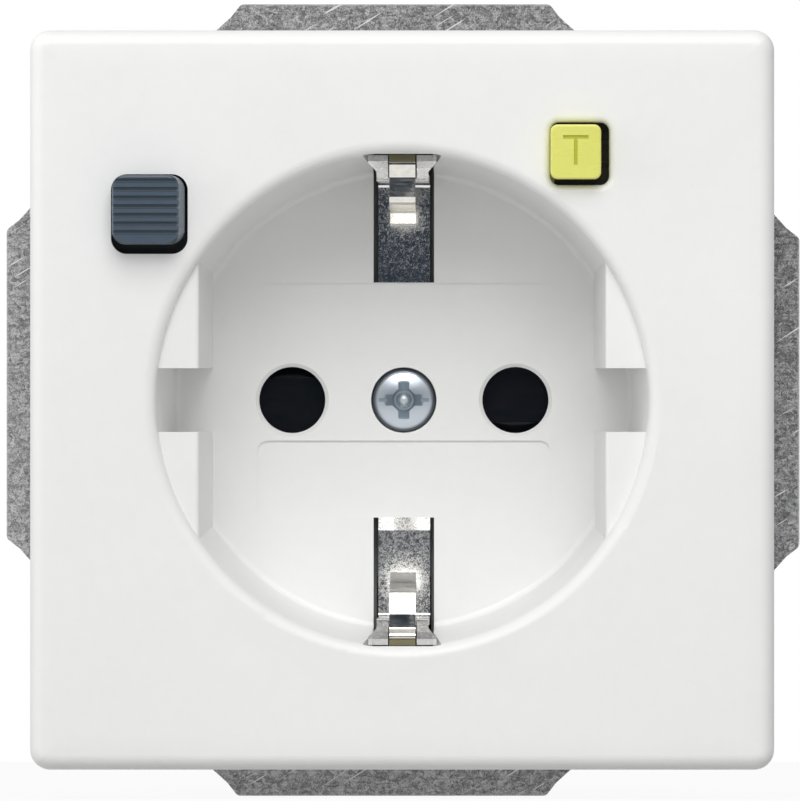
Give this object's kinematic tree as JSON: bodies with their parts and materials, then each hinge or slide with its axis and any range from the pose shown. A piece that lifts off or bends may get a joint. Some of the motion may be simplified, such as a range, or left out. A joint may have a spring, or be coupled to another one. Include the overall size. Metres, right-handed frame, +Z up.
{
  "type": "residual current device socket",
  "caption": "Square flush socket outlet with a round side-earth plug recess, pin shutter, ribbed reset and yellow test buttons, sheet frame and a round rear insert with trip relay",
  "frame": {"origin": "on the axis of the plug recess, in the plane of the wall, which is the back face of the support frame", "axes": "X to the right as seen from the front, Y into the wall, Z up"},
  "size_m": [0.0672, 0.051, 0.0672],
  "materials": {
    "white_plastic": "moulded thermoplastic, satin",
    "dark_button": "ribbed slate grey plastic",
    "yellow_button": "yellow-green plastic",
    "galvanised_steel": "zinc-coated sheet, spangled",
    "bright_steel": "zinc-plated",
    "spring_steel": "nickel-plated spring strip",
    "brass": "bare brass",
    "silver_contact": "silver-plated contact",
    "dark_plastic": "dark thermoplastic",
    "grey_plastic": "grey thermoset",
    "copper": "enamelled copper wire",
    "iron_core": "coated strip-wound core",
    "brown_lead": "brown insulation",
    "blue_lead": "blue insulation",
    "board": "printed board with solder mask",
    "ceramic": "coated ceramic",
    "capacitor_can": "sleeved can"
  },
  "bodies": {
    "socket": {"centre_plate": "white_plastic", "cover_screw": "bright_steel", "reset_spring": "spring_steel", "test_spring": "spring_steel", "support_frame": "galvanised_steel", "frame_screws": "bright_steel", "shutter_spring": "spring_steel", "shutter_washer": "bright_steel", "earth_bracket": "bright_steel", "earth_strap": "brass", "front_carrier": "grey_plastic", "rear_housing": "grey_plastic", "housing_screws": "bright_steel", "live_contact_clip": "brass", "neutral_contact_clip": "brass", "live_supply_contact": "silver_contact", "neutral_supply_contact": "silver_contact", "contact_base": "dark_plastic", "bridge_spring": "spring_steel", "relay_yoke": "bright_steel", "relay_bobbin": "dark_plastic", "relay_coil": "copper", "plunger_spring": "spring_steel", "latch_pin": "bright_steel", "transformer_core": "iron_core", "transformer_winding": "copper", "transformer_cradle": "dark_plastic", "live_lead": "brown_lead", "neutral_lead": "blue_lead", "circuit_board": "board", "smoothing_capacitor": "capacitor_can", "varistor": "ceramic", "control_chip": "dark_plastic", "test_resistor": "ceramic", "test_leaf_post": "brass", "test_contact": "brass", "live_terminal": "brass", "earth_terminal": "brass", "neutral_terminal": "brass", "terminal_screws": "bright_steel"},
    "reset": {"reset_button": "dark_button"},
    "bridge": {"contact_bridge": "dark_plastic", "live_moving_contact": "silver_contact", "neutral_moving_contact": "silver_contact", "contact_springs": "spring_steel"},
    "test": {"test_button": "yellow_button"},
    "test_leaf_body": {"test_leaf": "spring_steel"},
    "shutter": {"shutter_rotor": "dark_plastic"},
    "earth_top": {"earth_spring_top": "spring_steel"},
    "earth_bottom": {"earth_spring_bottom": "spring_steel"},
    "plunger": {"trip_plunger": "bright_steel"},
    "latch": {"latch_lever": "bright_steel"}
  },
  "joints": [
    {"name": "reset_press", "type": "slide", "parent": "socket", "child": "reset", "axis": [0, 1, 0], "range_m": [0, 0.0025], "stiffness_N_per_m": 900, "deforming": ["reset_spring"]},
    {"name": "bridge_slide", "type": "slide", "parent": "socket", "child": "bridge", "axis": [0, 1, 0], "range_m": [0, 0.0025], "stiffness_N_per_m": 300, "deforming": ["bridge_spring"]},
    {"name": "test_press", "type": "slide", "parent": "socket", "child": "test", "axis": [0, 1, 0], "range_m": [0, 0.0012], "stiffness_N_per_m": 900, "deforming": ["test_spring"]},
    {"name": "test_leaf_flex", "type": "hinge", "parent": "socket", "child": "test_leaf_body", "pos_m": [0.0016, 0.01565, 0.0189], "axis": [0, 0, 1], "range_deg": [0, 6.4], "stiffness_Nm_per_rad": 0.02},
    {"name": "shutter_turn", "type": "hinge", "parent": "socket", "child": "shutter", "pos_m": [0, 0.01, 0], "axis": [0, 1, 0], "range_deg": [0, 40], "stiffness_Nm_per_rad": 0.002, "deforming": ["shutter_spring"]},
    {"name": "earth_top_flex", "type": "hinge", "parent": "socket", "child": "earth_top", "pos_m": [0, -0.0079, 0.0206], "axis": [1, 0, 0], "range_deg": [0, 7], "stiffness_Nm_per_rad": 0.4},
    {"name": "earth_bottom_flex", "type": "hinge", "parent": "socket", "child": "earth_bottom", "pos_m": [0, -0.0079, -0.0206], "axis": [-1, 0, 0], "range_deg": [0, 7], "stiffness_Nm_per_rad": 0.4},
    {"name": "trip_slide", "type": "slide", "parent": "socket", "child": "plunger", "axis": [1, 0, 0], "range_m": [0, 0.0008], "stiffness_N_per_m": 300, "deforming": ["plunger_spring"]},
    {"name": "latch_turn", "type": "hinge", "parent": "socket", "child": "latch", "pos_m": [0.0056, 0.0245, 0.0115], "axis": [0, 0, 1], "range_deg": [0, 10.5], "stiffness_Nm_per_rad": 0.002}
  ],
  "couplings": [
    {"joint": "bridge_slide", "follows": "reset_press", "ratio": 1},
    {"joint": "test_leaf_flex", "follows": "test_press", "rad_per_m": 92},
    {"joint": "latch_turn", "follows": "trip_slide", "rad_per_m": 222.2}
  ]
}
